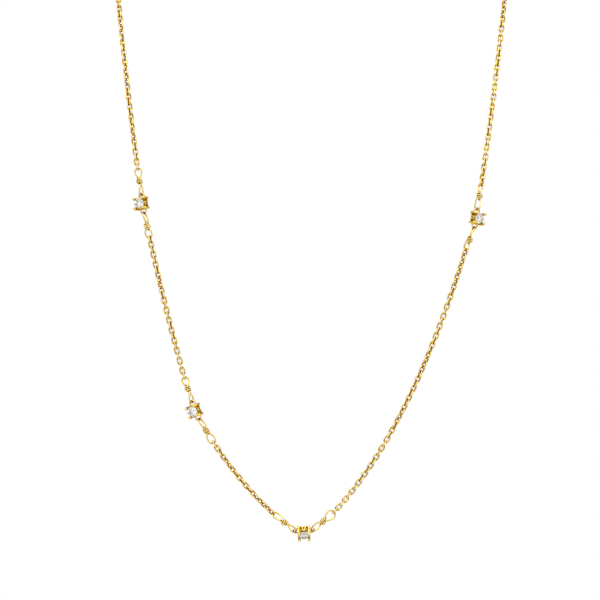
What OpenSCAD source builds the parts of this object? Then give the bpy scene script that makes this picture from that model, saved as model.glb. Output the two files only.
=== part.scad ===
// Fine cable-chain necklace with four claw-set stones, shown as it hangs when worn.
// Millimetres, +Z up, +X to the right seen from the front, the front faces -Y.
// The origin is the middle of the clasp at the nape, where the necklace hangs.

/* [Chain link] */
// Diameter of the round wire of links and connectors
wire_d = 0.38; // [0.34:0.01:0.4]
// Outer width of a link
link_w = 1.5; // [1.4:0.01:1.55]
// Distance from one link to the next along the chain
link_pitch = 1.25; // [1.2:0.01:1.3]
// Clear gap between pieces that hang in each other
play = 0.11; // [0.1:0.01:0.12]
// Slow turning of the chain about its own line, to each side
chain_swing = 45; // [0:5:50]
// Number of links in one such turn to and fro
chain_swing_links = 36; // [30:2:60]

/* [Wire-wrapped connector] */
// Distance from one turn of the coil to the next
coil_pitch = 0.43; // [0.42:0.01:0.46]
// Clear gap between the stem and the coil round it
coil_play = 0.12; // [0.08:0.01:0.14]
// Part of a turn left open between the two cut ends
coil_open = 0.3; // [0.2:0.05:0.5]
// How far the two cut ends stand off from the coil
cut_end_lift = 0.2; // [0:0.02:0.24]
// Length of the small loop that holds the setting
small_loop_l = 2.8; // [2.6:0.05:2.9]
// Outer width of that small loop
small_loop_w = 1.8; // [1.75:0.05:1.85]

/* [Setting] */
// Wire diameter of a claw
claw_d = 0.58; // [0.52:0.02:0.6]
// Diameter of the ball at the tip of a claw
claw_ball_d = 0.72; // [0.66:0.02:0.74]
// Half the distance between two tips, along the chain
tip_along = 1.15; // [1.12:0.01:1.18]
// Half the distance between two tips, across the chain
tip_across = 1.1; // [1.08:0.01:1.14]
// Height of the tips over the eyes
tip_h = 2.1; // [2.05:0.01:2.2]
// Half the length of the base, along the chain, to the middle of its wire
base_along = 1.3; // [1.28:0.01:1.34]
// Half the width of the base, across the chain
base_across = 1.16; // [1.14:0.01:1.18]
// Wire diameter of the base
base_d = 0.46; // [0.42:0.02:0.5]
// Middle radius of the eye ring at each end
eye_r = 0.73; // [0.7:0.01:0.76]
// Wire diameter of the eye rings
eye_d = 0.34; // [0.3:0.02:0.36]
// Length from the middle of one eye's outer wire to the other's
eyes_l = 5.05; // [5:0.05:5.2]

/* [Stone] */
// Diameter of the stone
stone_d = 2.55; // [2.4:0.05:2.55]
// Height of the girdle over the eyes
girdle_z = 1.62; // [1.62:0.01:1.66]

/* [How it hangs] */
// Height of the nape over the lowest setting, along the surface that it lies on
nape_rise = 182.2; // [182:0.1:186]
// Sideways place of the nape from the lowest setting
nape_side = 1.8; // [1:0.1:2.6]
// Slope of the lowest setting
bottom_slope = 3; // [0:0.5:5]
// How much further its two connectors reach into its eyes, as they pull upwards
bottom_reach = 0.15; // [0.12:0.01:0.2]

/* [Clasp] */
// Middle radius of the clasp's ring
clasp_r = 2.1; // [2:0.1:2.4]
// Wire diameter of the clasp's ring
clasp_d = 1.1; // [1:0.05:1.2]
// Middle radius of the end ring on the other side
end_ring_r = 1.45; // [1.4:0.05:1.6]
// Wire diameter of the end ring and of the clasp's eye
end_ring_d = 0.5; // [0.44:0.02:0.56]
// Middle radius of the clasp's eye
clasp_eye_r = 0.64; // [0.6:0.01:0.7]

/* [Hidden] */

gold = "#d9a633";
clear_stone = "#e9eef2";

// Facets of a full circle: the wires' round surfaces, and the wires of swept pieces
round_fn = 48;
wire_sides = 6;
tube_sides = 8;

// Reach between two pieces that hang in each other, from one wire's middle to the other's
hook = wire_d + play;
eye_hook = (wire_d + eye_d) / 2 + play;
clasp_hook = (wire_d + end_ring_d) / 2 + play;
ring_hook = (clasp_d + end_ring_d) / 2 + play;

// Middle of the clasp's eye along the clasp; its wire is let into the ring by the solder depth
solder_depth = 0.35;
clasp_eye_x = -(clasp_r + (clasp_d + end_ring_d) / 2 + clasp_eye_r - solder_depth);

// Room that a setting takes between its two joints
setting_step = eyes_l - eye_hook;

// The surface that the necklace lies on: upright at the bottom, then leaning back.
// It is bent about level lines only, so that lengths on it stay true.
// [length up the surface, lean from upright at its end]
LEAN = [
    [50, 0],
    [90, 20],
    [35, 60],
    [60, 60]
];

// One side of the necklace from the lowest setting up, piece by piece.
// The climb is each piece's slope; the roll turns its flat face outwards from the front.
// Chain: [kind, count, first climb, last climb]
// Connector: [kind, room, climb, climb, small loop's roll, large loop's roll, large loop's width]
// Setting: [kind, room, climb, climb, roll]
LEFT = [
    ["connector", 6.65, 39, 39, -40, -50, 2.1],
    ["chain", 18, 42.3, 56.3],
    ["connector", 6.45, 58, 58, -63, 0, 2.1],
    ["setting", setting_step, 68.5, 68.5, 27],
    ["connector", 5.85, 72.5, 72.5, -45, 0, 1.95],
    ["chain", 28, 74.2, 77.6],
    ["connector", 5.95, 76.5, 76.5, -70, -160, 1.95],
    ["setting", setting_step, 82.5, 82.5, 30],
    ["connector", 6.15, 81.5, 81.5, -42, 0, 1.95],
    ["chain", 36, 81.9, 84.2]
];
RIGHT = [
    ["connector", 6.5, 40, 40, -38, 0, 2.45],
    ["chain", 57, 47.2, 72.6],
    ["connector", 5.7, 69, 69, -68, -50, 1.9],
    ["setting", setting_step, 81, 81, 34],
    ["connector", 5.95, 80, 80, -40, -40, 1.9],
    ["chain", 39, 81.3, 83.5]
];
bottom_roll = 46;

function unit(a) = a / norm(a);
function smooth(t) = t * t * (3 - 2 * t);
// An angle brought into -90 to 90, for shapes that look the same after half a turn
function half_turn(a) = a - 180 * round(a / 180);
// Shortening of an arc's chord, for half the angle that it turns through
function chord_ratio(half) = abs(half) < 0.001 ? 1 : sin(half) * 180 / (PI * half);

// Place on the leaning surface, at a height along it: [back, up, lean]
function profile(v, row = 0, back = 0, up = 0, lean = 0) =
    let (
        span = LEAN[row][0],
        part = row == len(LEAN) - 1 ? v : min(v, span),
        end = lean + (LEAN[row][1] - lean) * part / span,
        chord = part * chord_ratio((end - lean) / 2),
        middle = (lean + end) / 2,
        y = back + chord * sin(middle),
        z = up + chord * cos(middle)
    )
    v <= span || row == len(LEAN) - 1 ? [y, z, end] : profile(v - span, row + 1, y, z, end);

nape = let (p = profile(nape_rise)) [nape_side, p[0], p[1]];
// A flat place [sideways, up the surface] brought into space, and the way its surface faces
function in_space(flat) = let (p = profile(flat[1])) [flat[0], p[0], p[1]] - nape;
function facing(flat) = let (lean = profile(max(flat[1], 0))[2]) [0, -cos(lean), sin(lean)];

// Pieces in a row, and the room that each of them takes
function pieces(row) = row[0] == "chain" ? row[1] : 1;
function room(row) = row[0] == "chain" ? link_pitch : row[1];
// The tangent of a hanging chain's climb grows evenly along it
function climb(row, i) =
    atan(tan(row[2]) + (tan(row[3]) - tan(row[2])) * i / max(pieces(row) - 1, 1));

// Flat places of the joints of one row, the first being the row's start
function joints(row, start, side) = [
    for (i = 0, p = start; i <= pieces(row);
        p = p + room(row) * [side * cos(climb(row, i)), sin(climb(row, i))], i = i + 1) p
];
// Place on the line of the lowest setting, at a distance from its middle to one side
function bottom_end(side, reach) = side * reach * [cos(bottom_slope), sin(bottom_slope)];
// Start of each row of a side
function starts(rows, side) = [
    for (i = 0, p = bottom_end(side, setting_step / 2 - bottom_reach);
        i <= len(rows);
        p = i < len(rows) ? joints(rows[i], p, side)[pieces(rows[i])] : p, i = i + 1) p
];
left_starts = starts(LEFT, -1);
right_starts = starts(RIGHT, 1);

// Frame of a piece between two flat places: X along it, Z out of its flat face, rolled outwards.
// The outward roll is to the other side of X on the two sides of the necklace.
function frame(from, to, side, roll) =
    let (
        a = in_space(from),
        b = in_space(to),
        x = unit(b - a),
        front = facing((from + to) / 2),
        z = unit(front - (front * x) * x),
        y = cross(z, x),
        r = side * roll,
        yr = cos(r) * y + sin(r) * z,
        zr = cos(r) * z - sin(r) * y,
        m = (a + b) / 2
    )
    [[x[0], yr[0], zr[0], m[0]], [x[1], yr[1], zr[1], m[1]], [x[2], yr[2], zr[2], m[2]], [0, 0, 0, 1]];

// Stretch behind the neck: straight on from the last link, then one arc to the clasp.
// It returns [last climb, length of the straight, radius of the arc, length of both].
clasp_from = clasp_eye_x - clasp_eye_r + clasp_hook / 2;
clasp_to = clasp_r - ring_hook + 2 * end_ring_r - clasp_hook / 2;
function closing(start, side) =
    let (
        rows = side < 0 ? LEFT : RIGHT,
        a = rows[len(rows) - 1][3],
        inward = side * (start[0] - nape_side) - (side < 0 ? -clasp_from : clasp_to),
        rise = nape_rise - start[1],
        straight = rise * sin(a) - inward * (1 + cos(a)),
        radius = (inward + straight * cos(a)) / sin(a)
    )
    [a, straight, radius, straight + radius * (180 - a) * PI / 180];
// Flat place at a length along that stretch
function on_closing(start, side, s) =
    let (
        c = closing(start, side),
        along = min(s, c[1]),
        turn = max(s - c[1], 0) / c[2] * 180 / PI,
        a = c[0]
    )
    start + [
        side * (along * cos(a) + c[2] * (sin(a + turn) - sin(a))),
        along * sin(a) + c[2] * (cos(a) - cos(a + turn))
    ];

// Length of the whole necklace on its own line
function rows_length(rows) = [for (r = rows) pieces(r) * room(r)] * [for (r = rows) 1];
whole_length = rows_length(LEFT) + rows_length(RIGHT) + setting_step + clasp_to - clasp_from
    + closing(left_starts[len(LEFT)], -1)[3] + closing(right_starts[len(RIGHT)], 1)[3];

// Solid swept by a polygon along points: the polygon is carried along without turning
function tangent(path, i) =
    unit(path[min(i + 1, len(path) - 1)] - path[max(i - 1, 0)]);
function across(t, n) = unit(n - (n * t) * t);
function normals(path, start) = [
    for (i = 0, n = across(tangent(path, 0), start); i < len(path);
        i = i + 1, n = i < len(path) ? across(tangent(path, i), n) : n) n
];
module sweep(path, d, sides, start = [0, 0, 1]) {
    ns = normals(path, start);
    last = len(path) - 1;
    polyhedron(
        points = [
            for (i = [0:last], k = [0:sides - 1])
                let (b = cross(tangent(path, i), ns[i]), a = 360 * k / sides)
                path[i] + d / 2 * (cos(a) * ns[i] + sin(a) * b)
        ],
        faces = concat(
            [[for (k = [0:sides - 1]) k]],
            [[for (k = [sides - 1:-1:0]) last * sides + k]],
            [for (i = [0:last - 1], k = [0:sides - 1])
                let (p = i * sides + k, q = i * sides + (k + 1) % sides)
                [p, p + sides, q + sides]],
            [for (i = [0:last - 1], k = [0:sides - 1])
                let (p = i * sides + k, q = i * sides + (k + 1) % sides)
                [p, q + sides, q]]
        ),
        convexity = 6
    );
}

// Ring of round wire in the XY plane
module ring(r, d) {
    rotate_extrude($fn = round_fn) translate([r, 0]) circle(d = d, $fn = round_fn);
}
// Half of such a ring, on the +X side
module half_ring(r, d) {
    rotate([0, 0, -90])
        rotate_extrude(angle = 180, $fn = round_fn) translate([r, 0]) circle(d = d, $fn = round_fn);
}
// Round bar from one point to another
module bar(from, to, d) {
    v = to - from;
    translate(from)
        rotate([0, acos(v[2] / norm(v)), atan2(v[1], v[0])])
            cylinder(h = norm(v), d = d, $fn = round_fn);
}

// Oval link of round wire, lying in the XY plane and along X
link_end_r = (link_w - wire_d) / 2;
link_straight = link_pitch + hook - 2 * link_end_r;
module link() {
    union() {
        translate([link_straight / 2, 0, 0]) half_ring(link_end_r, wire_d);
        translate([-link_straight / 2, 0, 0]) rotate([0, 0, 180]) half_ring(link_end_r, wire_d);
        for (side = [-1, 1])
            translate([-link_straight / 2, side * link_end_r, 0])
                rotate([0, 90, 0]) cylinder(h = link_straight, d = wire_d, $fn = round_fn);
    }
}

// Run of links that hang in each other, each a quarter turn from the last.
// The slow swing of the chain is nothing at both ends, where the roll fits the loops there.
module chain(rows, start_points, i, side) {
    row = rows[i];
    n = pieces(row);
    js = joints(row, start_points[i], side);
    first = rows[i - 1][5];
    last = i + 1 < len(rows) ? rows[i + 1][5] : first + 90 * n;
    twist = half_turn(last - first - 90 * (n + 1));
    color(gold)
        for (k = [0:n - 1]) {
            part = (k + 1) / (n + 1);
            swing = chain_swing * sin(360 * k / chain_swing_links) * sin(180 * part);
            multmatrix(frame(js[k], js[k + 1], side, first + 90 * (k + 1) + twist * part + swing))
                link();
        }
}

// Tube round the links that pass behind the neck, with a ring of corners every two diameters.
// Its ends turn a little from the pieces that they face, so they keep a wider gap.
back_tube_ring = 2 * link_w;
back_tube_gap = play + 0.03;
module chain_back(start, side) {
    length = closing(start, side)[3];
    from = (hook + wire_d) / 2 + back_tube_gap;
    to = length - (clasp_hook + end_ring_d) / 2 - back_tube_gap;
    rings = ceil((to - from) / back_tube_ring);
    color(gold)
        sweep(
            [for (k = [0:rings]) in_space(on_closing(start, side, from + (to - from) * k / rings))],
            link_w, tube_sides, [0, -1, 0]
        );
}

// Half of a connector's wire, from the middle of the stem out along X, round the loop in the
// XY plane, and back in the coil round the stem. The loop is round at its far end. The wire
// leaves the stem just past the coil, and comes back square to it, rising onto the coil.
coil_turns = 3;
coil_r = wire_d + coil_play;
// Steps along each side of a loop, round its far end, and in one turn of the coil
loop_side_steps = 6;
loop_end_steps = 10;
loop_steps = 2 * loop_side_steps + loop_end_steps;
coil_steps = 11;
// Straight neck of the stem past the coil, how fast a loop opens to its full width,
// and the part of the way round it at which the wire starts to rise onto the coil
neck = 0.2;
opening = 0.55;
rise_from = 0.6;
// Part of a turn over which a cut end lifts off the coil
lift_turn = 0.25;
function loop_point(k, loop_l, r) =
    let (
        out = k / loop_side_steps,
        back = (loop_steps - k) / loop_side_steps,
        turn = 180 * (k - loop_side_steps) / loop_end_steps
    )
    out < 1 ? [neck + (loop_l - r - neck) * out, r * pow(sin(90 * out), opening)]
    : back < 1 ? [(loop_l - r) * back, -r * pow(sin(90 * back), opening)]
    : [loop_l - r + r * sin(turn), r * cos(turn)];
function loop_rise(k) = coil_r * smooth(max((k / loop_steps - rise_from) / (1 - rise_from), 0));
// Place on the coil, some turns from its start, where the cut end is at the last turn
function coil_point(turns, last) =
    let (r = coil_r + cut_end_lift * smooth(max(1 - (last - turns) / lift_turn, 0)))
    [-coil_pitch * turns, r * sin(360 * turns), r * cos(360 * turns)];
function half_connector(coil_l, loop_l, loop_w) =
    let (
        last = (coil_turns - coil_open) / 2,
        steps = ceil(last * coil_steps)
    )
    concat(
        [[coil_l / 4, 0, 0]],
        [for (k = [0:loop_steps])
            let (p = loop_point(k, loop_l, (loop_w - wire_d) / 2))
            [coil_l / 2 + p[0], p[1], loop_rise(k)]],
        [for (k = [1:steps]) [coil_l / 2, 0, 0] + coil_point(last * k / steps, last)]
    );
function turned(points, roll) = [
    for (p = points)
        [p[0], p[1] * cos(roll) - p[2] * sin(roll), p[1] * sin(roll) + p[2] * cos(roll)]
];
function backwards(points) = [for (i = [len(points) - 1:-1:0]) points[i]];

// Connector of one wire with its small loop towards -X and its large loop towards +X
module connector_wire(length, twist, large_w) {
    coil_l = coil_pitch * (coil_turns + twist / 360);
    small = [for (p = half_connector(coil_l, small_loop_l, small_loop_w)) [-p[0], -p[1], p[2]]];
    large = turned(half_connector(coil_l, length - coil_l - small_loop_l, large_w), twist);
    shift = (small_loop_l + coil_l / 2) - length / 2;
    translate([shift, 0, 0]) sweep(concat(backwards(small), large), wire_d, wire_sides, [1, 0, 0]);
}
module connector(rows, start_points, i, side) {
    row = rows[i];
    small_first = i == 0 || rows[i - 1][0] == "setting";
    js = joints(row, start_points[i], side);
    flip = small_first ? 0 : 180;
    // The eye's hook is a little shorter than the link's, so the wire's middle is off the row's
    offset = (small_first ? 1 : -1) * (hook - eye_hook) / 4;
    color(gold)
        multmatrix(frame(js[0], js[1], side, row[4]))
            translate([offset, 0, 0])
                rotate([0, 0, flip])
                    connector_wire(
                        room(row) + (hook + eye_hook) / 2,
                        half_turn(side * (small_first ? 1 : -1) * (row[5] - row[4])), row[6]
                    );
}

// Frame of round wire in the XY plane: a rectangle with round corners, by its half sizes
module wire_frame(along, across, corner, d) {
    straight_x = along - corner;
    straight_y = across - corner;
    for (quarter = [0:3]) {
        x = quarter == 0 || quarter == 3 ? 1 : -1;
        y = quarter < 2 ? 1 : -1;
        translate([x * straight_x, y * straight_y, 0])
            rotate([0, 0, 90 * quarter])
                rotate_extrude(angle = 90, $fn = round_fn)
                    translate([corner, 0]) circle(d = d, $fn = round_fn);
    }
    for (side = [-1, 1]) {
        bar([-straight_x, side * across, 0], [straight_x, side * across, 0], d);
        bar([side * along, -straight_y, 0], [side * along, straight_y, 0], d);
    }
}

// Claw outside a corner of the base and up beside the stone: nearly upright to a shoulder just
// below the girdle, then bent in to a ball tip over the stone's edge
claw_foot = [base_along - 0.12, base_across + 0.22, -0.2];
claw_shoulder = [tip_along + 0.09, tip_across + 0.38, girdle_z - 0.24];
claw_tip = [tip_along, tip_across, tip_h];
claw_shoulder_d = claw_d + 0.02;
claw_neck_d = claw_d - 0.02;
module claw() {
    translate(claw_foot) sphere(d = claw_d, $fn = round_fn);
    bar(claw_foot, claw_shoulder, claw_d);
    translate(claw_shoulder) sphere(d = claw_shoulder_d, $fn = round_fn);
    bar(claw_shoulder, claw_tip, claw_neck_d);
    translate(claw_tip) sphere(d = claw_ball_d, $fn = round_fn);
}
// Hairpin of wire outside the base, between the claws: two ribs that lean together on their
// way up, joined by a bend at the top
rib_across = base_across + 0.24;
rib_d = 0.4;
rib_foot_half = 0.41;
rib_top_half = 0.21;
rib_top = 1.42;
bend_z = rib_top - rib_top_half - rib_d / 2;
module hairpin() {
    translate([0, rib_across, bend_z])
        rotate([90, 0, 0]) rotate([0, 0, 90]) half_ring(rib_top_half, rib_d);
    for (side = [-1, 1]) {
        foot = [side * rib_foot_half, rib_across, 0];
        translate(foot) sphere(d = rib_d, $fn = round_fn);
        bar(foot, [side * rib_top_half, rib_across, bend_z], rib_d);
    }
}
// Eye at one end of the base: a bow of wire
module eye() {
    bow_x = eyes_l / 2 - eye_r;
    translate([bow_x, 0, 0]) half_ring(eye_r, eye_d);
    for (side = [-1, 1])
        bar([base_along, side * eye_r, 0], [bow_x, side * eye_r, 0], eye_d);
}
// Setting with its eyes along X and the stone facing +Z, all soldered into one.
// A plate closes the base; the seat is a smaller frame under the stone.
base_corner = 0.4;
plate_h = 0.2;
seat_along = base_along - 0.16;
seat_across = base_across + 0.04;
seat_corner = 0.2;
seat_z = girdle_z - 0.58;
seat_d = 0.3;
module setting_metal() {
    wire_frame(base_along, base_across, base_corner, base_d);
    cube([2 * base_along, 2 * base_across, plate_h], center = true);
    translate([0, 0, seat_z]) wire_frame(seat_along, seat_across, seat_corner, seat_d);
    for (x = [-1, 1], y = [-1, 1])
        scale([x, y, 1]) claw();
    for (turn = [0, 180])
        rotate([0, 0, turn]) {
            hairpin();
            eye();
        }
}
module setting(m) {
    color(gold) multmatrix(m) setting_metal();
}

// Brilliant-cut stone: table, stars, kites and upper halves over the girdle, the same below
table_r = stone_d * 0.28;
crown_h = stone_d * 0.15;
pavilion_h = stone_d * 0.43;
girdle_h = stone_d * 0.03;
star_r = stone_d * 0.4;
lower_r = stone_d * 0.26;
// Height of a point between two kites, so that each kite is flat
function kite_h(top_r, h, r) = h * (stone_d / 2 - r * cos(22.5)) / (stone_d / 2 - top_r);
module stone_cut() {
    function circle_points(n, r, z, turn) = [
        for (i = [0:n - 1]) [r * cos(360 * i / n + turn), r * sin(360 * i / n + turn), z]
    ];
    z0 = girdle_z;
    points = concat(
        circle_points(8, table_r, z0 + girdle_h / 2 + crown_h, 0),
        circle_points(8, star_r, z0 + girdle_h / 2 + kite_h(table_r, crown_h, star_r), 22.5),
        circle_points(16, stone_d / 2, z0 + girdle_h / 2, 0),
        circle_points(16, stone_d / 2, z0 - girdle_h / 2, 0),
        circle_points(8, lower_r, z0 - girdle_h / 2 - kite_h(0, pavilion_h, lower_r), 22.5),
        [[0, 0, z0 - girdle_h / 2 - pavilion_h]]
    );
    polyhedron(points = points, faces = concat(
        [[for (i = [7:-1:0]) i]],
        [for (i = [0:7]) [i, (i + 1) % 8, 8 + i]],
        [for (i = [0:7]) [i, 8 + i, 16 + 2 * i, 8 + (i + 7) % 8]],
        [for (i = [0:7]) [8 + i, 16 + 2 * i + 1, 16 + 2 * i]],
        [for (i = [0:7]) [8 + i, 16 + (2 * i + 2) % 16, 16 + 2 * i + 1]],
        [for (j = [0:15]) [16 + j, 16 + (j + 1) % 16, 32 + (j + 1) % 16, 32 + j]],
        [for (i = [0:7]) [48 + i, 32 + 2 * i, 32 + 2 * i + 1]],
        [for (i = [0:7]) [48 + i, 32 + 2 * i + 1, 32 + (2 * i + 2) % 16]],
        [for (i = [0:7]) [56, 48 + (i + 7) % 8, 32 + 2 * i, 48 + i]]
    ));
}
module stone(m) {
    color(clear_stone) multmatrix(m) stone_cut();
}

// Frames of the four settings
function setting_frame(rows, start_points, i, side) =
    let (js = joints(rows[i], start_points[i], side)) frame(js[0], js[1], side, rows[i][4]);
at_left_low = setting_frame(LEFT, left_starts, 3, -1);
at_left_top = setting_frame(LEFT, left_starts, 7, -1);
at_right = setting_frame(RIGHT, right_starts, 3, 1);
at_bottom = frame(
    bottom_end(-1, setting_step / 2), bottom_end(1, setting_step / 2), 1, bottom_roll);

// Clasp: one plain closed ring with an eye for the chain on its left
at_nape = frame([nape_side - 1, nape_rise], [nape_side + 1, nape_rise], 1, 0);
module clasp() {
    color(gold)
        multmatrix(at_nape) {
            ring(clasp_r, clasp_d);
            translate([clasp_eye_x, 0, 0]) ring(clasp_eye_r, end_ring_d);
        }
}
// Plain ring on the right end of the chain, which the clasp holds
module end_ring() {
    color(gold)
        multmatrix(at_nape)
            translate([clasp_r - ring_hook + end_ring_r, 0, 0])
                rotate([90, 0, 0]) ring(end_ring_r, end_ring_d);
}

chain(LEFT, left_starts, 1, -1);  // chain_left_low
chain(LEFT, left_starts, 5, -1);  // chain_left_middle
chain(LEFT, left_starts, 9, -1);  // chain_left_top
chain(RIGHT, right_starts, 1, 1);  // chain_right_low
chain(RIGHT, right_starts, 5, 1);  // chain_right_top
chain_back(left_starts[len(LEFT)], -1);  // chain_back_left
chain_back(right_starts[len(RIGHT)], 1);  // chain_back_right
connector(LEFT, left_starts, 0, -1);  // connector_bottom_left
connector(LEFT, left_starts, 2, -1);  // connector_left_low_lower
connector(LEFT, left_starts, 4, -1);  // connector_left_low_upper
connector(LEFT, left_starts, 6, -1);  // connector_left_top_lower
connector(LEFT, left_starts, 8, -1);  // connector_left_top_upper
connector(RIGHT, right_starts, 0, 1);  // connector_bottom_right
connector(RIGHT, right_starts, 2, 1);  // connector_right_lower
connector(RIGHT, right_starts, 4, 1);  // connector_right_upper
setting(at_left_top);  // setting_left_top
setting(at_left_low);  // setting_left_low
setting(at_bottom);  // setting_bottom
setting(at_right);  // setting_right
stone(at_left_top);  // stone_left_top
stone(at_left_low);  // stone_left_low
stone(at_bottom);  // stone_bottom
stone(at_right);  // stone_right
clasp();
end_ring();
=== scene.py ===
"""Looks of a fine cable-chain necklace with four claw-set stones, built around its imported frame.

Shapes are worked out in millimetres, in the frame's own axes, and scaled to metres at the end.
"""

import math

import bpy
import numpy as np
from mathutils.bvhtree import BVHTree
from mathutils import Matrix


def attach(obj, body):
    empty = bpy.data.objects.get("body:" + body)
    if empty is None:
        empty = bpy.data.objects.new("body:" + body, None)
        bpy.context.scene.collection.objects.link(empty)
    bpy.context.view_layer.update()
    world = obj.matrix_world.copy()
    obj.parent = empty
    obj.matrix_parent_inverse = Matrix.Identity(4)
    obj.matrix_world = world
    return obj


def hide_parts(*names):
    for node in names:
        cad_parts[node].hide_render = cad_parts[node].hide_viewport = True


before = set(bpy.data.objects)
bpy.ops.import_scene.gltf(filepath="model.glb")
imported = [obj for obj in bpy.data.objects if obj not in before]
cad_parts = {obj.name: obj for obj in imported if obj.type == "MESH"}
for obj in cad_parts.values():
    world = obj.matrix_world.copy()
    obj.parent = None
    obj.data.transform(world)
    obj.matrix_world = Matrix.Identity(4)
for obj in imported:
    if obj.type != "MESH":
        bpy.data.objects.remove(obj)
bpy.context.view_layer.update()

MM = 0.001

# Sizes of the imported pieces, in millimetres and degrees. A D is a wire's diameter, an R or an L
# is measured to a wire's middle line, and a W over its outside.
WIRE_D = 0.38
LINK_W = 1.5
LINK_PITCH = 1.25
PLAY = 0.11
CHAIN_SWING = 45.0
CHAIN_SWING_LINKS = 36
COIL_TURNS = 3
COIL_PITCH = 0.43
COIL_OPEN = 0.3
COIL_R = WIRE_D + 0.12
CUT_END_LIFT = 0.2
SMALL_LOOP_L = 2.8
SMALL_LOOP_W = 1.8
EYES_L = 5.05
EYE_R = 0.73
EYE_D = 0.34
CLASP_R = 2.1
CLASP_D = 1.1
CLASP_EYE_R = 0.64
END_RING_R = 1.45
END_RING_D = 0.5
SOLDER_DEPTH = 0.35
NAPE_RISE = 182.2
NAPE_SIDE = 1.8
BOTTOM_SLOPE = 3.0
BOTTOM_REACH = 0.15
BOTTOM_ROLL = 46.0

# From the middle of one wire to that of the other, where two pieces hang in each other
HOOK = WIRE_D + PLAY
EYE_HOOK = (WIRE_D + EYE_D) / 2 + PLAY
CLASP_HOOK = (WIRE_D + END_RING_D) / 2 + PLAY
RING_HOOK = (CLASP_D + END_RING_D) / 2 + PLAY

CLASP_EYE_X = -(CLASP_R + (CLASP_D + END_RING_D) / 2 + CLASP_EYE_R - SOLDER_DEPTH)
SETTING_STEP = EYES_L - EYE_HOOK

# The surface that the necklace lies on: length up it, and its lean from upright at the end
LEAN = [(50, 0), (90, 20), (35, 60), (60, 60)]

# Columns of the two tables below. SIZE is a chain's number of links, and else the length that the
# piece takes up along the necklace. ROLL is that of the setting or of the connector's small loop,
# and LARGE_ROLL and LARGE_W are the large loop's.
KIND, SIZE, LOW_CLIMB, HIGH_CLIMB, ROLL, LARGE_ROLL, LARGE_W = range(7)

# Each side from the lowest setting up
LEFT = [
    ("connector", 6.65, 39, 39, -40, -50, 2.1),
    ("chain", 18, 42.3, 56.3),
    ("connector", 6.45, 58, 58, -63, 0, 2.1),
    ("setting", SETTING_STEP, 68.5, 68.5, 27),
    ("connector", 5.85, 72.5, 72.5, -45, 0, 1.95),
    ("chain", 28, 74.2, 77.6),
    ("connector", 5.95, 76.5, 76.5, -70, -160, 1.95),
    ("setting", SETTING_STEP, 82.5, 82.5, 30),
    ("connector", 6.15, 81.5, 81.5, -42, 0, 1.95),
    ("chain", 36, 81.9, 84.2),
]
RIGHT = [
    ("connector", 6.5, 40, 40, -38, 0, 2.45),
    ("chain", 57, 47.2, 72.6),
    ("connector", 5.7, 69, 69, -68, -50, 1.9),
    ("setting", SETTING_STEP, 81, 81, 34),
    ("connector", 5.95, 80, 80, -40, -40, 1.9),
    ("chain", 39, 81.3, 83.5),
]

# Which node each row of a side is
LEFT_NODES = [
    "connector_bottom_left",
    "chain_left_low",
    "connector_left_low_lower",
    "setting_left_low",
    "connector_left_low_upper",
    "chain_left_middle",
    "connector_left_top_lower",
    "setting_left_top",
    "connector_left_top_upper",
    "chain_left_top",
]
RIGHT_NODES = [
    "connector_bottom_right",
    "chain_right_low",
    "connector_right_lower",
    "setting_right",
    "connector_right_upper",
    "chain_right_top",
]


# How the necklace hangs

def sin_deg(a):
    return math.sin(math.radians(a))


def cos_deg(a):
    return math.cos(math.radians(a))


def unit(a):
    return a / np.linalg.norm(a)


def half_turn(a):
    """An angle brought within a quarter turn, for shapes that look the same after half a turn."""
    turns = a / 180
    return a - 180 * math.copysign(math.floor(abs(turns) + 0.5), turns)


def chord_ratio(half):
    """Shortening of an arc's chord, for half the angle that it turns through."""
    return 1.0 if abs(half) < 0.001 else sin_deg(half) / math.radians(half)


def profile(height):
    """Place on the leaning surface: how far back, how far up, and the lean there."""
    back = up = lean = 0.0
    for row, (span, end_lean) in enumerate(LEAN):
        last = row == len(LEAN) - 1
        part = height if last else min(height, span)
        end = lean + (end_lean - lean) * part / span
        chord = part * chord_ratio((end - lean) / 2)
        back += chord * sin_deg((lean + end) / 2)
        up += chord * cos_deg((lean + end) / 2)
        if height <= span or last:
            return back, up, end
        height -= span
        lean = end_lean


NAPE = np.array([NAPE_SIDE, *profile(NAPE_RISE)[:2]])


def in_space(flat):
    """Where a place on the surface, by side and height, is in the frame."""
    back, up, _ = profile(flat[1])
    return np.array([flat[0], back, up]) - NAPE


def facing(flat):
    """The way that the surface faces at a place on it."""
    lean = profile(max(flat[1], 0))[2]
    return np.array([0, -cos_deg(lean), sin_deg(lean)])


def pieces_in(row):
    return row[SIZE] if row[KIND] == "chain" else 1


def room(row):
    return LINK_PITCH if row[KIND] == "chain" else row[SIZE]


def climb(row, i):
    """The tangent of a hanging chain's climb grows evenly along it."""
    low = math.tan(math.radians(row[LOW_CLIMB]))
    high = math.tan(math.radians(row[HIGH_CLIMB]))
    return math.degrees(math.atan(low + (high - low) * i / max(pieces_in(row) - 1, 1)))


def joints(row, start, side):
    """Places on the surface where the row's pieces meet, from its start up."""
    places = [np.array(start, float)]
    for i in range(pieces_in(row)):
        a = climb(row, i)
        places.append(places[-1] + room(row) * np.array([side * cos_deg(a), sin_deg(a)]))
    return places


def bottom_end(side, reach):
    return side * reach * np.array([cos_deg(BOTTOM_SLOPE), sin_deg(BOTTOM_SLOPE)])


def starts(rows, side):
    """Where each row of a side starts, and where the last one ends."""
    places = [bottom_end(side, SETTING_STEP / 2 - BOTTOM_REACH)]
    for row in rows:
        places.append(joints(row, places[-1], side)[-1])
    return places


LEFT_STARTS = starts(LEFT, -1)
RIGHT_STARTS = starts(RIGHT, 1)


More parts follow.
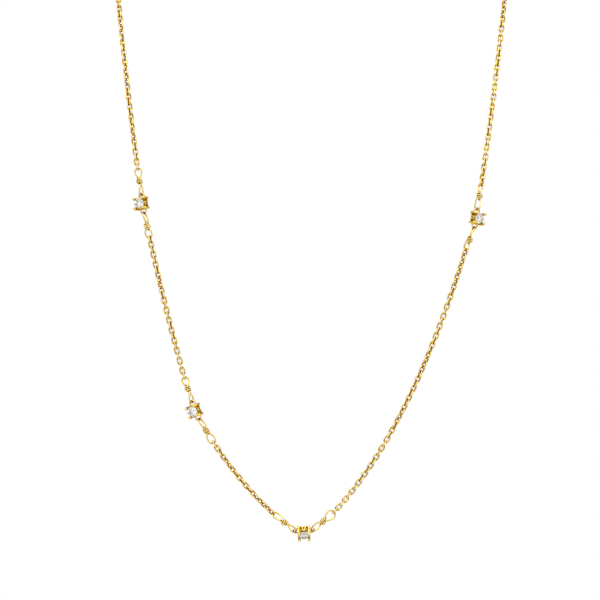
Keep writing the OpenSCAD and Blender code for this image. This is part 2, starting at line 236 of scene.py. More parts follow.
def frame_between(start, end, side, roll):
    """Axes and middle of a piece: X along it, Z out of its flat face, rolled outwards."""
    a = in_space(start)
    b = in_space(end)
    x = unit(b - a)
    front = facing((np.asarray(start) + np.asarray(end)) / 2)
    z = unit(front - front.dot(x) * x)
    y = np.cross(z, x)
    r = side * roll
    axes = np.array([x, cos_deg(r) * y + sin_deg(r) * z, cos_deg(r) * z - sin_deg(r) * y])
    return axes, (a + b) / 2


def placed(points, at):
    axes, middle = at
    return points @ axes + middle


def moved(shape, at):
    verts, faces = shape
    return placed(verts, at), faces


# Where the last links end beside the clasp's middle, on its left and on its right
CLASP_FROM = CLASP_EYE_X - CLASP_EYE_R + CLASP_HOOK / 2
CLASP_TO = CLASP_R - RING_HOOK + 2 * END_RING_R - CLASP_HOOK / 2


def closing(start, side):
    """Stretch behind the neck: last climb, length of the straight, radius of the arc, length."""
    rows = LEFT if side < 0 else RIGHT
    a = rows[-1][HIGH_CLIMB]
    clasp_side = -CLASP_FROM if side < 0 else CLASP_TO
    inward = side * (start[0] - NAPE_SIDE) - clasp_side
    straight = (NAPE_RISE - start[1]) * sin_deg(a) - inward * (1 + cos_deg(a))
    radius = (inward + straight * cos_deg(a)) / sin_deg(a)
    return a, straight, radius, straight + radius * math.radians(180 - a)


def on_closing(start, side, s):
    """Place on the surface, some way along the stretch behind the neck."""
    a, straight, radius, _ = closing(start, side)
    along = min(s, straight)
    turn = math.degrees(max(s - straight, 0) / radius)
    sideways = along * cos_deg(a) + radius * (sin_deg(a + turn) - sin_deg(a))
    upwards = along * sin_deg(a) + radius * (cos_deg(a) - cos_deg(a + turn))
    return np.array([start[0] + side * sideways, start[1] + upwards])


# Meshes of round wire: arrays of points, and faces that name them

ROUTE_STEP = 0.05
CAP_STEPS = 4
BALL_STEPS = 12


def carried_normals(points, start, closed):
    """A normal at each point of a route, carried along it without turning about it."""
    if closed:
        tangents = np.roll(points, -1, 0) - np.roll(points, 1, 0)
    else:
        tangents = np.gradient(points, axis=0)
    tangents /= np.linalg.norm(tangents, axis=1)[:, None]
    normals = np.empty_like(points)
    n = np.array(start, float)
    for i, t in enumerate(tangents):
        n = unit(n - n.dot(t) * t)
        normals[i] = n
    return tangents, normals


def tube(points, radius, sides, start_normal, closed=False):
    """Round wire along points; an open one has round ends."""
    points = np.asarray(points, float)
    radii = np.full(len(points), radius)
    tangents, normals = carried_normals(points, start_normal, closed)
    if not closed:
        angles = np.linspace(0, math.pi / 2, CAP_STEPS + 1)[1:-1]
        first = [points[0] - tangents[0] * radius * math.sin(a) for a in angles[::-1]]
        last = [points[-1] + tangents[-1] * radius * math.sin(a) for a in angles]
        shrink = np.cos(angles)
        ends = len(angles)
        points = np.vstack([first, points, last])
        radii = np.concatenate([radius * shrink[::-1], radii, radius * shrink])
        tangents = np.vstack([[tangents[0]] * ends, tangents, [tangents[-1]] * ends])
        normals = np.vstack([[normals[0]] * ends, normals, [normals[-1]] * ends])
    sideways = np.cross(tangents, normals)
    a = np.linspace(0, 2 * math.pi, sides, endpoint=False)
    circle = np.cos(a)[None, :, None] * normals[:, None] + np.sin(a)[None, :, None] * sideways[:, None]
    verts = (points[:, None] + radii[:, None, None] * circle).reshape(-1, 3)
    rings = len(points)
    spans = rings if closed else rings - 1
    i, k = np.meshgrid(np.arange(spans), np.arange(sides), indexing="ij")
    here = i * sides
    there = (i + 1) % rings * sides
    k2 = (k + 1) % sides
    quads = np.stack([here + k, here + k2, there + k2, there + k], -1).reshape(-1, 4).tolist()
    if not closed:
        quads.append(list(range(sides))[::-1])
        quads.append([(rings - 1) * sides + j for j in range(sides)])
    return verts, quads


def joined(parts):
    """Several meshes as one."""
    verts = []
    faces = []
    count = 0
    for part_verts, part_faces in parts:
        verts.append(part_verts)
        faces.extend([[v + count for v in f] for f in part_faces])
        count += len(part_verts)
    return np.vstack(verts), faces


def ball(center, radius):
    """A round ball of rings and two poles."""
    n = 2 * BALL_STEPS
    verts = []
    for j in range(1, BALL_STEPS):
        lat = math.pi * j / BALL_STEPS
        for k in range(n):
            lon = math.pi * k / BALL_STEPS
            verts.append([math.sin(lat) * math.cos(lon), math.sin(lat) * math.sin(lon), math.cos(lat)])
    verts += [[0, 0, 1], [0, 0, -1]]
    top = (BALL_STEPS - 1) * n
    last_ring = (BALL_STEPS - 2) * n
    faces = [
        [j * n + k, (j + 1) * n + k, (j + 1) * n + (k + 1) % n, j * n + (k + 1) % n]
        for j in range(BALL_STEPS - 2) for k in range(n)
    ]
    faces += [[top, k, (k + 1) % n] for k in range(n)]
    faces += [[top + 1, last_ring + (k + 1) % n, last_ring + k] for k in range(n)]
    return np.array(verts) * radius + np.array(center), faces


def rounded(points, reach):
    """The route in even steps, with its sharp bends rounded over a reach to each side."""
    points = np.asarray(points, float)
    lengths = np.concatenate([[0], np.cumsum(np.linalg.norm(np.diff(points, axis=0), axis=1))])
    even = np.linspace(0, lengths[-1], round(lengths[-1] / ROUTE_STEP) + 1)
    route = np.stack([np.interp(even, lengths, points[:, j]) for j in range(3)], -1)
    n = round(reach / ROUTE_STEP)
    before = 2 * route[0] - route[n:0:-1]
    after = 2 * route[-1] - route[-2:-n - 2:-1]
    padded = np.vstack([before, route, after])
    weights = np.bartlett(2 * n + 3)[1:-1]
    weights /= weights.sum()
    return np.stack([np.convolve(padded[:, j], weights, "valid") for j in range(3)], -1)


# Looks round from a vertex: how many, how far, and how far above the metal they start
LOOKS = 20
LOOK_REACH = 0.8
LOOK_START = 0.01
GOLDEN_TURN = math.pi * (3 - math.sqrt(5))


def look_ways():
    """Directions over half a sphere round Z, closer together towards its top."""
    parts = (np.arange(LOOKS) + 0.5) / LOOKS
    turns = np.arange(LOOKS) * GOLDEN_TURN
    return np.stack([
        np.sqrt(parts) * np.cos(turns),
        np.sqrt(parts) * np.sin(turns),
        np.sqrt(1 - parts),
    ], -1)


def vertex_normals(verts, faces):
    mesh = bpy.data.meshes.new("normals")
    mesh.from_pydata(np.asarray(verts).tolist(), [], faces)
    normals = np.empty(len(verts) * 3)
    mesh.vertex_normals.foreach_get("vector", normals)
    bpy.data.meshes.remove(mesh)
    return normals.reshape(-1, 3)


def recesses(verts, faces, others=()):
    """How shut in each vertex is by the metal round it, from 0 in the open to 1."""
    around_verts, around_faces = joined([(verts, faces), *others])
    metal = BVHTree.FromPolygons(around_verts.tolist(), around_faces)
    z = vertex_normals(verts, faces)
    x = np.cross(z, np.where(np.abs(z[:, :1]) < 0.9, [[1, 0, 0]], [[0, 1, 0]]))
    x /= np.linalg.norm(x, axis=1)[:, None]
    axes = np.stack([x, np.cross(z, x), z], 1)
    from_places = (verts + LOOK_START * z).tolist()
    blocked = []
    for place, ways in zip(from_places, (look_ways() @ axes).tolist()):
        blocked.append(sum(metal.ray_cast(place, way, LOOK_REACH)[0] is not None for way in ways))
    return np.array(blocked) / LOOKS


def make_piece(name, verts_mm, faces, material, node, shut_in):
    """A smooth gold piece, in metres, which rides on the necklace and stands for its node."""
    mesh = bpy.data.meshes.new(name)
    mesh.from_pydata((verts_mm * MM).tolist(), [], faces)
    mesh.validate()
    mesh.polygons.foreach_set("use_smooth", [True] * len(mesh.polygons))
    # The recess value drives the painted shade that darkens the gold where it is shut in
    mesh.attributes.new("recess", "FLOAT", "POINT").data.foreach_set("value", shut_in)
    mesh.materials.append(material)
    piece = bpy.data.objects.new(name, mesh)
    bpy.context.scene.collection.objects.link(piece)
    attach(piece, "root")
    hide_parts(node)


# Chain

LINK_SIDES = 14
LINK_END_STEPS = 12
# Links closed by hand are turned a little more or less than a quarter from the last one
UNEVEN_ROLL = 3.0


def link_shape():
    """Oval link lying in the XY plane and along X."""
    end_r = (LINK_W - WIRE_D) / 2
    straight = LINK_PITCH + HOOK - 2 * end_r
    a = np.linspace(-math.pi / 2, math.pi / 2, LINK_END_STEPS + 1)
    right = np.stack([straight / 2 + end_r * np.cos(a), end_r * np.sin(a), 0 * a], -1)
    left = -right
    return tube(np.vstack([right, left]), WIRE_D / 2, LINK_SIDES, (0, 0, 1), closed=True)


def link_recesses():
    """How shut in each vertex of a link is, between two others that hang in it."""
    verts, faces = link_shape()
    turned = verts[:, [0, 2, 1]] * [1, -1, 1]
    neighbours = [(turned + [side * LINK_PITCH, 0, 0], faces) for side in (-1, 1)]
    return recesses(verts, faces, neighbours)


def uneven_rolls(count, seed):
    return np.random.default_rng(seed).uniform(-UNEVEN_ROLL, UNEVEN_ROLL, count)


def chain_roll(rows, i, k):
    """Roll of a link in a run: a quarter turn from the last, with the chain's slow swing."""
    n = pieces_in(rows[i])
    first = rows[i - 1][LARGE_ROLL]
    last = rows[i + 1][LARGE_ROLL] if i + 1 < len(rows) else first + 90 * n
    twist = half_turn(last - first - 90 * (n + 1))
    part = (k + 1) / (n + 1)
    swing = CHAIN_SWING * sin_deg(360 * k / CHAIN_SWING_LINKS) * sin_deg(180 * part)
    return first + 90 * (k + 1) + twist * part + swing


def chain_run(rows, places, i, side):
    """The links of a side's row."""
    js = joints(rows[i], places[i], side)
    uneven = uneven_rolls(pieces_in(rows[i]), 10 * i + (side > 0))
    link = link_shape()
    parts = []
    for k, chance in enumerate(uneven):
        roll = chain_roll(rows, i, k) + chance
        parts.append(moved(link, frame_between(js[k], js[k + 1], side, roll)))
    return joined(parts)


def chain_behind(rows, places, side, last_roll):
    """The links that pass behind the neck, up to the clasp."""
    start = places[-1]
    length = closing(start, side)[3]
    count = round(length / LINK_PITCH)
    first = chain_roll(rows, len(rows) - 1, pieces_in(rows[-1]) - 1) + 90
    twist = half_turn(last_roll - first - 90 * (count - 1))
    link = link_shape()
    parts = []
    for k, chance in enumerate(uneven_rolls(count, 100 + side)):
        ends = [on_closing(start, side, length * j / count) for j in (k, k + 1)]
        roll = first + 90 * k + twist * k / (count - 1) + chance
        parts.append(moved(link, frame_between(*ends, side, roll)))
    return joined(parts)


# Wire-wrapped connector

CONNECTOR_SIDES = 16
CONNECTOR_LOOP_STEPS = 240
CONNECTOR_COIL_STEPS = 48
# Straight stem before a loop opens, and the power of the sine that its sides open by
NECK = 0.2
OPENING = 0.55
# Part of the loop where its wire starts to rise to the coil, and part of it in each side
RISE_FROM = 0.6
SIDE_SHARE = 6 / 22
# Last part of a turn in which the cut end lifts, and reach of the bends' rounding
LIFT_TURN = 0.25
WIRE_BEND = 0.2


def smooth_step(t):
    """From 0 at 0 to 1 at 1, level at both."""
    t = min(max(t, 0), 1)
    return t * t * (3 - 2 * t)


def loop_point(u, loop_l, r):
    """Place on a loop, from 0 where it leaves the stem to 1 where it comes back."""
    out = u / SIDE_SHARE
    back = (1 - u) / SIDE_SHARE
    if out < 1:
        return NECK + (loop_l - r - NECK) * out, r * sin_deg(90 * out) ** OPENING
    if back < 1:
        return (loop_l - r) * back, -r * max(sin_deg(90 * back), 0) ** OPENING
    turn = 180 * (u - SIDE_SHARE) / (1 - 2 * SIDE_SHARE)
    return loop_l - r + r * sin_deg(turn), r * cos_deg(turn)


def coil_point(turns, last):
    """Place on the coil, some turns from its start, where the cut end is at the last turn."""
    r = COIL_R + CUT_END_LIFT * smooth_step(1 - (last - turns) / LIFT_TURN)
    return [-COIL_PITCH * turns, r * sin_deg(360 * turns), r * cos_deg(360 * turns)]


def half_connector(coil_l, loop_l, loop_w):
    """Route from the stem's middle round a loop and on round the stem, to the cut end."""
    points = [[coil_l / 4, 0, 0]]
    for u in np.linspace(0, 1, CONNECTOR_LOOP_STEPS + 1):
        x, y = loop_point(u, loop_l, (loop_w - WIRE_D) / 2)
        rise = COIL_R * smooth_step((u - RISE_FROM) / (1 - RISE_FROM))
        points.append([coil_l / 2 + x, y, rise])
    last = (COIL_TURNS - COIL_OPEN) / 2
    steps = math.ceil(last * CONNECTOR_COIL_STEPS)
    for k in range(1, steps + 1):
        x, y, z = coil_point(last * k / steps, last)
        points.append([coil_l / 2 + x, y, z])
    return np.array(points)


def connector_shape(length, twist, large_w):
    """One wire, its small loop towards -X and its large loop towards +X."""
    coil_l = COIL_PITCH * (COIL_TURNS + twist / 360)
    small = half_connector(coil_l, SMALL_LOOP_L, SMALL_LOOP_W) * [-1, -1, 1]
    large = half_connector(coil_l, length - coil_l - SMALL_LOOP_L, large_w)
    c = cos_deg(twist)
    s = sin_deg(twist)
    large = large @ np.array([[1, 0, 0], [0, c, s], [0, -s, c]])
    route = np.vstack([small[::-1], large])
    route[:, 0] += SMALL_LOOP_L + coil_l / 2 - length / 2
    return tube(rounded(route, WIRE_BEND), WIRE_D / 2, CONNECTOR_SIDES, (1, 0, 0))


def connector_mesh(rows, places, i, side):
    """The connector of a side's row, with its small loop in the setting's eye."""
    row = rows[i]
    small_first = i == 0 or rows[i - 1][KIND] == "setting"
    sign = 1 if small_first else -1
    twist = half_turn(side * sign * (row[LARGE_ROLL] - row[ROLL]))
    verts, faces = connector_shape(room(row) + (HOOK + EYE_HOOK) / 2, twist, row[LARGE_W])
    if not small_first:
        verts = verts * [-1, -1, 1]
    verts = verts + np.array([sign * (HOOK - EYE_HOOK) / 4, 0, 0])
    js = joints(row, places[i], side)
    return placed(verts, frame_between(js[0], js[1], side, row[ROLL])), faces


# Claw setting, with its half sizes along the necklace and across it

BASE_ALONG = 1.3
BASE_ACROSS = 1.16
BASE_CORNER = 0.4
BASE_D = 0.46
PLATE_H = 0.2
SEAT_ALONG = BASE_ALONG - 0.16
SEAT_ACROSS = BASE_ACROSS + 0.04
SEAT_CORNER = 0.2
SEAT_D = 0.3
STONE_D = 2.55
GIRDLE_Z = 1.62
SEAT_Z = GIRDLE_Z - 0.58
CLAW_D = 0.58
CLAW_BEND = 0.3
CLAW_BALL_D = 0.72
CLAW_FOOT = (BASE_ALONG - 0.12, BASE_ACROSS + 0.22, -0.2)
CLAW_TIP = (1.15, 1.1, 2.1)
CLAW_SHOULDER = (CLAW_TIP[0] + 0.09, CLAW_TIP[1] + 0.38, GIRDLE_Z - 0.24)
RIB_ACROSS = BASE_ACROSS + 0.24
RIB_D = 0.4
RIB_FOOT_Z = 0.0
RIB_FOOT_HALF = 0.41
RIB_TOP_HALF = 0.21
RIB_TOP = 1.42
RIB_BEND = 0.1

# Points of a frame's corner, a hairpin's bend and an eye's bow, and sides of their wires
CORNER_POINTS = 10
BEND_POINTS = 17
BOW_POINTS = 33
FRAME_SIDES = 20
SETTING_SIDES = 16
LID_POINTS = 24
# The solder's skin: size of its cells, and how often and how far it is smoothed
SOLDER_CELL = 0.045
SOLDER_SMOOTHINGS = 5
SOLDER_FLOW = 0.5


def frame_points(along, across, corner, z):
    """Rectangle with round corners, by its half sizes."""
    points = []
    for quarter, (x, y) in enumerate([(1, 1), (-1, 1), (-1, -1), (1, -1)]):
        for a in np.linspace(90 * quarter, 90 * quarter + 90, CORNER_POINTS):
            points.append([x * (along - corner) + corner * cos_deg(a),
                           y * (across - corner) + corner * sin_deg(a), z])
    return points


def wire_frame(along, across, corner, wire_d, z=0.0):
    points = frame_points(along, across, corner, z)
    return tube(points, wire_d / 2, FRAME_SIDES, (0, 0, 1), closed=True)


def plate(along, across, corner, height):
    """Plate that closes the base, inside its frame of wire."""
    low, high = [frame_points(along, across, corner, z) for z in (-height / 2, height / 2)]
    n = len(low)
    sides = [[i, (i + 1) % n, n + (i + 1) % n, n + i] for i in range(n)]
    return np.array(low + high), [list(range(n))[::-1], list(range(n, 2 * n))] + sides


def claw_parts(x_side, y_side):
    """A claw from a corner of the base, out to its shoulder and in to a ball over the stone."""
    turned = np.array([x_side, y_side, 1])
    route = rounded([CLAW_FOOT, CLAW_SHOULDER, CLAW_TIP], CLAW_BEND) * turned
    return [tube(route, CLAW_D / 2, SETTING_SIDES, (1, 0, 0)), ball(route[-1], CLAW_BALL_D / 2)]


def hairpin_part(y_side):
    """Two ribs that lean together on their way up, joined by a round bend at the top."""
    bend_z = RIB_TOP - RIB_TOP_HALF - RIB_D / 2
    a = np.linspace(0, math.pi, BEND_POINTS)
    y = np.full_like(a, RIB_ACROSS)
    bend = np.stack([RIB_TOP_HALF * np.cos(a), y, bend_z + RIB_TOP_HALF * np.sin(a)], -1)
    foot = np.array([[RIB_FOOT_HALF, RIB_ACROSS, RIB_FOOT_Z]])
    route = rounded(np.vstack([foot, bend, foot * [-1, 1, 1]]), RIB_BEND)
    return tube(route * [1, y_side, 1], RIB_D / 2, SETTING_SIDES, (0, 1, 0))


def eye_part(x_side):
    """A bow of wire from the base, which the connector's small loop hangs in."""
    bow_x = EYES_L / 2 - EYE_R
    a = np.linspace(-math.pi / 2, math.pi / 2, BOW_POINTS)
    bow = np.stack([bow_x + EYE_R * np.cos(a), EYE_R * np.sin(a), 0 * a], -1)
    foot = np.array([[BASE_ALONG, -EYE_R, 0]])
    route = np.vstack([foot, bow, foot * [1, -1, 1]])
    return tube(route * [x_side, 1, 1], EYE_D / 2, SETTING_SIDES, (0, 0, 1))


def setting_parts():
    parts = [
        wire_frame(BASE_ALONG, BASE_ACROSS, BASE_CORNER, BASE_D),
        plate(BASE_ALONG, BASE_ACROSS, BASE_CORNER, PLATE_H),
        wire_frame(SEAT_ALONG, SEAT_ACROSS, SEAT_CORNER, SEAT_D, SEAT_Z),
    ]
    for side in (-1, 1):
        parts += [hairpin_part(side), eye_part(side)]
        parts += claw_parts(side, 1) + claw_parts(side, -1)
    return parts


def stone_lid():
    """A disc at the stone's girdle, which shuts in the metal under it."""
    r = STONE_D / 2
    a = np.linspace(0, 2 * math.pi, LID_POINTS, endpoint=False)
    points = np.stack([r * np.cos(a), r * np.sin(a), np.full_like(a, GIRDLE_Z)], -1)
    return points, [list(range(LID_POINTS))]


def soldered(parts):
    """The parts melted into one skin, as solder joins them."""
    verts, faces = joined(parts)
    mesh = bpy.data.meshes.new("soldering")
    mesh.from_pydata(verts.tolist(), [], faces)
    work = bpy.data.objects.new("soldering", mesh)
    bpy.context.scene.collection.objects.link(work)
    melt = work.modifiers.new("melt", "REMESH")
    melt.mode = "VOXEL"
    melt.voxel_size = SOLDER_CELL
    flow = work.modifiers.new("flow", "SMOOTH")
    flow.factor = SOLDER_FLOW
    flow.iterations = SOLDER_SMOOTHINGS
    done = bpy.data.meshes.new_from_object(work.evaluated_get(bpy.context.evaluated_depsgraph_get()))
    bpy.data.objects.remove(work)
    bpy.data.meshes.remove(mesh)
    co = np.empty(len(done.vertices) * 3)
    done.vertices.foreach_get("co", co)
    result = co.reshape(-1, 3), [list(p.vertices) for p in done.polygons]
    bpy.data.meshes.remove(done)
    return result


# Materials

def noise(nodes, links, coordinates, scale, detail):
    node = nodes.new("ShaderNodeTexNoise")
    node.inputs["Scale"].default_value = scale
    node.inputs["Detail"].default_value = detail
    links.new(coordinates, node.inputs["Vector"])
    return node.outputs["Fac"]


def ramp(nodes, links, factor, stops):
    """Colour by a factor. Each stop: its place from 0 to 1, and the colour there."""
    node = nodes.new("ShaderNodeValToRGB")
    elements = node.color_ramp.elements
    while len(elements) < len(stops):
        elements.new(0.5)
    for element, (place, color) in zip(elements, stops):
        element.position = place
        element.color = (*color, 1)
    links.new(factor, node.inputs["Fac"])
    return node.outputs["Color"]


def mapped(nodes, links, factor, low, high):
    node = nodes.new("ShaderNodeMapRange")
    node.inputs["To Min"].default_value = low
    node.inputs["To Max"].default_value = high
    links.new(factor, node.inputs["Value"])
    return node.outputs["Result"]


def new_material(name):
    material = bpy.data.materials.new(name)
    material.use_nodes = True
    nodes = material.node_tree.nodes
    return material, nodes, material.node_tree.links, nodes["Principled BSDF"]


GOLD_CLOUDS = [(0.3, (0.81, 0.59, 0.13)), (0.5, (0.86, 0.68, 0.19)), (0.7, (0.9, 0.75, 0.28))]
GOLD_EDGE = (0.9, 0.66, 0.18)
GOLD_RELIEF = 0.5
# Painted shade over the gold's colour, by how shut in it is by the metal round it: none, then orange,
# then dark red-brown
RECESS_PAINTED_SHADE = [
    (0.04, (1.0, 1.0, 1.0)),
    (0.18, (0.82, 0.5, 0.07)),
    (0.38, (0.24, 0.05, 0.001)),
]


def with_painted_shade(nodes, links, color):
    """The gold's colour with painted shade darkening its recesses."""
    recess = nodes.new("ShaderNodeAttribute")
    recess.attribute_name = "recess"
    painted_shade = ramp(nodes, links, recess.outputs["Fac"], RECESS_PAINTED_SHADE)
    under = nodes.new("ShaderNodeMix")
    under.data_type = "RGBA"
    under.blend_type = "MULTIPLY"
    under.inputs[0].default_value = 1
    gold_input, shade_input = [socket for socket in under.inputs if socket.type == "RGBA"]
    links.new(color, gold_input)
    links.new(painted_shade, shade_input)
    return next(socket for socket in under.outputs if socket.type == "RGBA")


def gold(name, cloud_mm, grain_mm, rough, relief_mm):
    """Polished yellow gold: clouds of colour, uneven polish, a fine rippled surface, and painted shade
    darkening its recesses.
    """
    material, nodes, links, shader = new_material(name)
    place = nodes.new("ShaderNodeTexCoord").outputs["Object"]
    clouds = noise(nodes, links, place, 1 / (cloud_mm * MM), detail=3)
    grain = noise(nodes, links, place, 1 / (grain_mm * MM), detail=4)
    color = ramp(nodes, links, clouds, GOLD_CLOUDS)
    # Base colour darkened by painted shade where the metal is shut in
    links.new(with_painted_shade(nodes, links, color), shader.inputs["Base Color"])
    links.new(mapped(nodes, links, clouds, *rough), shader.inputs["Roughness"])
    shader.inputs["Metallic"].default_value = 1.0
    shader.inputs["Specular Tint"].default_value = (*GOLD_EDGE, 1)
    bump = nodes.new("ShaderNodeBump")
    bump.inputs["Strength"].default_value = GOLD_RELIEF
    bump.inputs["Distance"].default_value = relief_mm * MM
    links.new(grain, bump.inputs["Height"])
    links.new(bump.outputs["Normal"], shader.inputs["Normal"])
    return material


STONE_TINTS = [(0.3, (0.9, 0.95, 1.0)), (0.5, (0.95, 0.96, 1.0)), (0.7, (0.97, 0.93, 0.98))]
STONE_TINT_MM = 0.9
STONE_MARK_MM = 0.25
STONE_ROUGH = (0.0, 0.04)
STONE_IOR = 2.2


def clear_stone(name):
    """Cut clear stone, with a faint cool and warm tint inside and a few soft polishing marks."""
    material, nodes, links, shader = new_material(name)
    place = nodes.new("ShaderNodeTexCoord").outputs["Object"]
    tint = noise(nodes, links, place, 1 / (STONE_TINT_MM * MM), detail=2)
    marks = noise(nodes, links, place, 1 / (STONE_MARK_MM * MM), detail=3)
    links.new(ramp(nodes, links, tint, STONE_TINTS), shader.inputs["Base Color"])
    links.new(mapped(nodes, links, marks, *STONE_ROUGH), shader.inputs["Roughness"])
    shader.inputs["Transmission Weight"].default_value = 1.0
    shader.inputs["IOR"].default_value = STONE_IOR
    return material


PAPER_TINTS = [(0.3, (0.8, 0.83, 0.9)), (0.7, (0.84, 0.87, 0.93))]
PAPER_CLOUD_M = 0.3
PAPER_ROUGH = 0.6


def paper(name):
    """Pale matt paper for the floor, with faint wide clouds."""
    material, nodes, links, shader = new_material(name)
    place = nodes.new("ShaderNodeTexCoord").outputs["Object"]
    clouds = noise(nodes, links, place, 1 / PAPER_CLOUD_M, detail=2)
    links.new(ramp(nodes, links, clouds, PAPER_TINTS), shader.inputs["Base Color"])
    shader.inputs["Roughness"].default_value = PAPER_ROUGH
    return material


# Camera and studio

# The lowest setting's middle is this pixel of the 600-pixel picture, at this size of pixel
PICTURE = 600
BOTTOM_PIXEL = (303.79, 530.57)
PIXEL_MM = 0.24
CAMERA_DISTANCE_MM = 900.0
SENSOR_MM = 36.0
NEAREST_M = 0.05
FARTHEST_M = 20


def add_camera():
    """Camera level in front of the necklace, which puts the lowest setting on its pixel."""
    bottom = in_space((0, 0))
    side = bottom[0] + (PICTURE / 2 - BOTTOM_PIXEL[0]) * PIXEL_MM
    up = bottom[2] - (PICTURE / 2 - BOTTOM_PIXEL[1]) * PIXEL_MM
    data = bpy.data.cameras.new("camera")
    data.sensor_width = SENSOR_MM
    data.lens = SENSOR_MM * CAMERA_DISTANCE_MM / (PICTURE * PIXEL_MM)
    data.clip_start = NEAREST_M
    data.clip_end = FARTHEST_M
    camera = bpy.data.objects.new("camera", data)
    camera.location = np.array([side, bottom[1] - CAMERA_DISTANCE_MM, up]) * MM
    camera.rotation_euler = (math.pi / 2, 0, 0)
    bpy.context.scene.collection.objects.link(camera)
    bpy.context.scene.camera = camera


def add_area_light(name, place, aim, size, power):
    """A white light panel, in metres and watts, turned towards what it aims at."""
    data = bpy.data.lights.new(name, "AREA")
    data.shape = "RECTANGLE"
    data.size = size[0]
    data.size_y = size[1]
    data.energy = power
    light = bpy.data.objects.new(name, data)
    direction = np.array(aim) - np.array(place)
    light.location = place
    light.rotation_euler = (
        math.atan2(math.hypot(direction[0], direction[1]), -direction[2]),
        0,
        math.atan2(-direction[0], direction[1]),
    )
    bpy.context.scene.collection.objects.link(light)


FLOOR_Z = -0.6
FLOOR_R = 1.4
FLOOR_POINTS = 96


def add_floor():
    verts = [(FLOOR_R * math.cos(a), FLOOR_R * math.sin(a), FLOOR_Z)
             for a in np.linspace(0, 2 * math.pi, FLOOR_POINTS, endpoint=False)]
    mesh = bpy.data.meshes.new("floor")
    mesh.from_pydata(verts, [], [list(range(FLOOR_POINTS))])
    mesh.materials.append(paper("floor_paper"))
    floor = bpy.data.objects.new("floor", mesh)
    bpy.context.scene.collection.objects.link(floor)


# The room is a tent with two glowing walls, in front to the left and to the right, and it turns
# dim and warm towards the back. Each stop: how far towards the nearer glow, from 0 straight away
# from it to 1, and the colour there.
GLOW = (0.78, -0.45, 0.42)
ROOM = [
    (0.0, (0.035, 0.007, 0.0005)),
    (0.25, (0.1, 0.03, 0.003)),
    (0.42, (0.28, 0.14, 0.025)),
    (0.6, (0.54, 0.43, 0.18)),
    (0.76, (0.8, 0.77, 0.59)),
    (0.92, (1.0, 1.0, 0.98)),
]
ROOM_POWER = 1.0
BACKDROP = (1.0, 1.0, 1.0)


def add_room():
    """A room that the metal mirrors, behind a plain white backdrop in every picture."""
    world = bpy.data.worlds.new("studio")
    bpy.context.scene.world = world
    world.use_nodes = True
    nodes = world.node_tree.nodes
    links = world.node_tree.links
    way = nodes.new("ShaderNodeSeparateXYZ")
    links.new(nodes.new("ShaderNodeTexCoord").outputs["Generated"], way.inputs["Vector"])
    sideways = nodes.new("ShaderNodeMath")
    sideways.operation = "ABSOLUTE"
    links.new(way.outputs["X"], sideways.inputs[0])
    folded = nodes.new("ShaderNodeCombineXYZ")
    links.new(sideways.outputs["Value"], folded.inputs["X"])
    links.new(way.outputs["Y"], folded.inputs["Y"])
    links.new(way.outputs["Z"], folded.inputs["Z"])
    lean = nodes.new("ShaderNodeVectorMath")
    lean.operation = "DOT_PRODUCT"
    lean.inputs[1].default_value = unit(np.array(GLOW))
    links.new(folded.outputs["Vector"], lean.inputs[0])
    nearness = nodes.new("ShaderNodeMapRange")
    nearness.inputs["From Min"].default_value = -1
    links.new(lean.outputs["Value"], nearness.inputs["Value"])
    room_light = nodes["Background"]
    room_light.inputs["Strength"].default_value = ROOM_POWER
    links.new(ramp(nodes, links, nearness.outputs["Result"], ROOM), room_light.inputs["Color"])
    backdrop = nodes.new("ShaderNodeBackground")
    backdrop.inputs["Color"].default_value = (*BACKDROP, 1)
    choice = nodes.new("ShaderNodeMixShader")
    links.new(nodes.new("ShaderNodeLightPath").outputs["Is Camera Ray"], choice.inputs["Fac"])
    links.new(room_light.outputs["Background"], choice.inputs[1])
    links.new(backdrop.outputs["Background"], choice.inputs[2])
    links.new(choice.outputs["Shader"], nodes["World Output"].inputs["Surface"])


def add_studio():
    add_room()
    add_floor()
    necklace = (0, -0.03, -0.09)
    floor = (0, 0, FLOOR_Z)
    add_area_light("key", place=(-0.7, -0.95, 0.6), aim=necklace, size=(0.4, 0.4), power=3)
    add_area_light("fill", place=(0.9, -0.8, 0.3), aim=necklace, size=(0.25, 0.4), power=1)
    add_area_light("over_floor", place=(0, 0.2, 1.2), aim=floor, size=(1.6, 1.6), power=9)
    bpy.context.scene.view_settings.view_transform = "Standard"


# The necklace, piece by piece

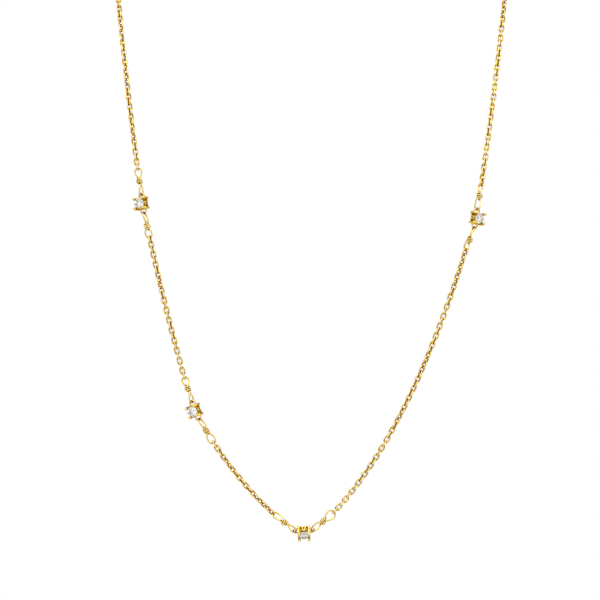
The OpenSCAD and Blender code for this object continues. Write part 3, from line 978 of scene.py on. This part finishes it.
def all_shapes():
    """Mesh of every gold node but the clasp and the end ring, and a lid for each setting."""
    metal = soldered(setting_parts())
    ends = [bottom_end(side, SETTING_STEP / 2) for side in (-1, 1)]
    at = frame_between(*ends, 1, BOTTOM_ROLL)
    shapes = {"setting_bottom": moved(metal, at)}
    lids = {"setting_bottom": moved(stone_lid(), at)}
    for rows, places, names, side in (
        (LEFT, LEFT_STARTS, LEFT_NODES, -1), (RIGHT, RIGHT_STARTS, RIGHT_NODES, 1)
    ):
        for i, (row, name) in enumerate(zip(rows, names)):
            if row[KIND] == "chain":
                shapes[name] = chain_run(rows, places, i, side)
            elif row[KIND] == "connector":
                shapes[name] = connector_mesh(rows, places, i, side)
            else:
                at = frame_between(*joints(row, places[i], side), side, row[ROLL])
                shapes[name] = moved(metal, at)
                lids[name] = moved(stone_lid(), at)
    shapes["chain_back_left"] = chain_behind(LEFT, LEFT_STARTS, -1, last_roll=90)
    shapes["chain_back_right"] = chain_behind(RIGHT, RIGHT_STARTS, 1, last_roll=0)
    return shapes, lids


def neighbours_of(node, shapes, lids):
    """Meshes of the pieces that hang in a connector or a setting, with the setting's lid."""
    near = [lids[node]] if node in lids else []
    for names in (LEFT_NODES, RIGHT_NODES):
        row = ["setting_bottom", *names]
        if node in row:
            at = row.index(node)
            near += [shapes[other] for other in row[max(at - 1, 0):at] + row[at + 1:at + 2]]
    return near


def add_gold(chain_gold, wire_gold, cast_gold):
    """Every gold piece that replaces a node. All links are shut in alike, so one stands for all."""
    shapes, lids = all_shapes()
    one_link = link_recesses()
    for node, (verts, faces) in shapes.items():
        if node.startswith("chain"):
            name = node.replace("chain", "links")
            shut_in = np.tile(one_link, len(verts) // len(one_link))
            make_piece(name, verts, faces, chain_gold, node, shut_in)
        else:
            shut_in = recesses(verts, faces, neighbours_of(node, shapes, lids))
            material = wire_gold if node.startswith("connector") else cast_gold
            name = node.replace("connector", "wire").replace("setting", "claws")
            make_piece(name, verts, faces, material, node, shut_in)


def dress_node(node, material):
    """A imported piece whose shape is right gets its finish."""
    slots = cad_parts[node].data.materials
    slots.clear()
    slots.append(material)


add_camera()
add_studio()
chain_gold = gold("chain_gold", cloud_mm=2.2, grain_mm=0.12, rough=(0.13, 0.26), relief_mm=0.006)
wire_gold = gold("wire_gold", cloud_mm=1.6, grain_mm=0.1, rough=(0.12, 0.24), relief_mm=0.005)
cast_gold = gold("cast_gold", cloud_mm=0.9, grain_mm=0.14, rough=(0.12, 0.25), relief_mm=0.008)
add_gold(chain_gold, wire_gold, cast_gold)
stone = clear_stone("clear_stone")
for name in ("stone_left_top", "stone_left_low", "stone_bottom", "stone_right"):
    dress_node(name, stone)
dress_node("clasp", cast_gold)
dress_node("end_ring", wire_gold)
